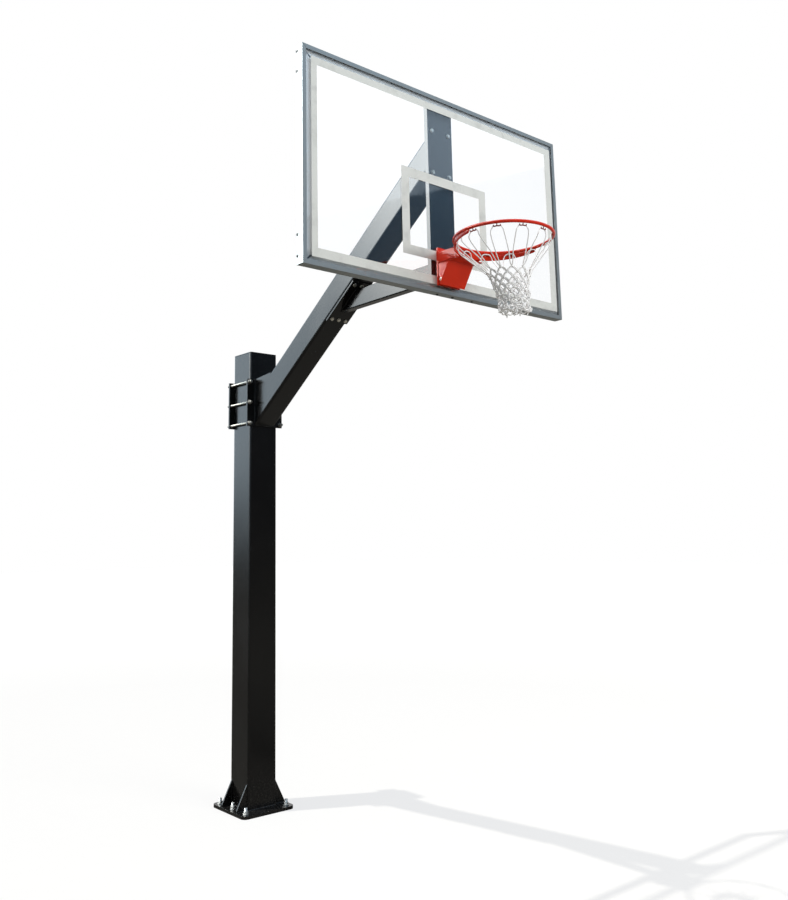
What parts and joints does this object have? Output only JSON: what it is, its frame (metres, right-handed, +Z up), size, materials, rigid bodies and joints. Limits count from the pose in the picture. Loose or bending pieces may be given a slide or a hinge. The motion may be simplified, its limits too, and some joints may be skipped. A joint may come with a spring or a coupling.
{
  "type": "basketball hoop",
  "caption": "In-ground basketball hoop: square pole on an anchored base plate, clamped sloping arm with brace, framed glass backboard and sprung breakaway rim with net.",
  "frame": {"origin": "centre of the base plate's underside, on the ground", "axes": "+Z up along the pole; the hoop faces -Y; +X to the right as seen by someone in front of the backboard"},
  "size_m": [1.829, 2.611, 4.3175],
  "materials": {
    "black_coat": "gloss black powder coat",
    "red_coat": "gloss orange-red powder coat",
    "aluminium": "satin grey anodised",
    "glass": "clear tempered glass",
    "rubber": "matt black",
    "bright_steel": "zinc plated",
    "galvanised": "hot dip galvanised",
    "spring_steel": "dark oiled spring steel",
    "net_white": "white braided cord"
  },
  "bodies": {
    "stand": {"base_plate": "black_coat", "base_gusset_left_front": "black_coat", "base_gusset_left_rear": "black_coat", "base_gusset_right_front": "black_coat", "base_gusset_right_rear": "black_coat", "pole_tube": "black_coat", "pole_cap": "black_coat", "clamp_plate_front": "black_coat", "clamp_plate_rear": "black_coat", "extension_arm": "black_coat", "arm_knee": "black_coat", "arm_end_plate": "black_coat", "spine_channel": "black_coat", "brace_tube": "black_coat", "brace_foot_plate": "black_coat", "brace_end_plate": "black_coat", "rim_spacer": "black_coat", "rim_mount_plate": "red_coat", "frame_rail_bottom": "aluminium", "frame_rail_top": "aluminium", "frame_rail_left": "aluminium", "frame_rail_right": "aluminium", "backboard_glass": "glass", "glass_gasket": "rubber", "clamp_rod_1": "bright_steel", "clamp_rod_2": "bright_steel", "clamp_rod_3": "bright_steel", "clamp_rod_4": "bright_steel", "clamp_rod_5": "bright_steel", "clamp_rod_6": "bright_steel", "arm_bolt_1": "bright_steel", "arm_bolt_2": "bright_steel", "arm_bolt_3": "bright_steel", "arm_bolt_4": "bright_steel", "foot_bolt_1": "bright_steel", "foot_bolt_2": "bright_steel", "foot_bolt_3": "bright_steel", "foot_bolt_4": "bright_steel", "foot_bolt_5": "bright_steel", "foot_bolt_6": "bright_steel", "rim_bolt_1": "bright_steel", "rim_bolt_2": "bright_steel", "rim_bolt_3": "bright_steel", "rim_bolt_4": "bright_steel", "rim_pivot_pin": "bright_steel", "rim_spring_rod": "bright_steel", "anchor_bolt_1": "galvanised", "anchor_bolt_2": "galvanised", "anchor_bolt_3": "galvanised", "anchor_bolt_4": "galvanised", "anchor_bolt_5": "galvanised", "anchor_bolt_6": "galvanised", "rim_spring": "spring_steel"},
    "rim": {"rim_carrier": "red_coat", "rim_cover": "red_coat", "rim_ring": "red_coat", "rim_skirt": "red_coat", "net": "net_white"}
  },
  "joints": [
    {"name": "rim_breakaway", "type": "hinge", "parent": "stand", "child": "rim", "pos_m": [0, -1.8314, 2.905], "axis": [1, 0, 0], "range_deg": [0, 30], "stiffness_Nm_per_rad": 500, "springref_deg": -28.65, "deforming": ["rim_spring"]}
  ]
}
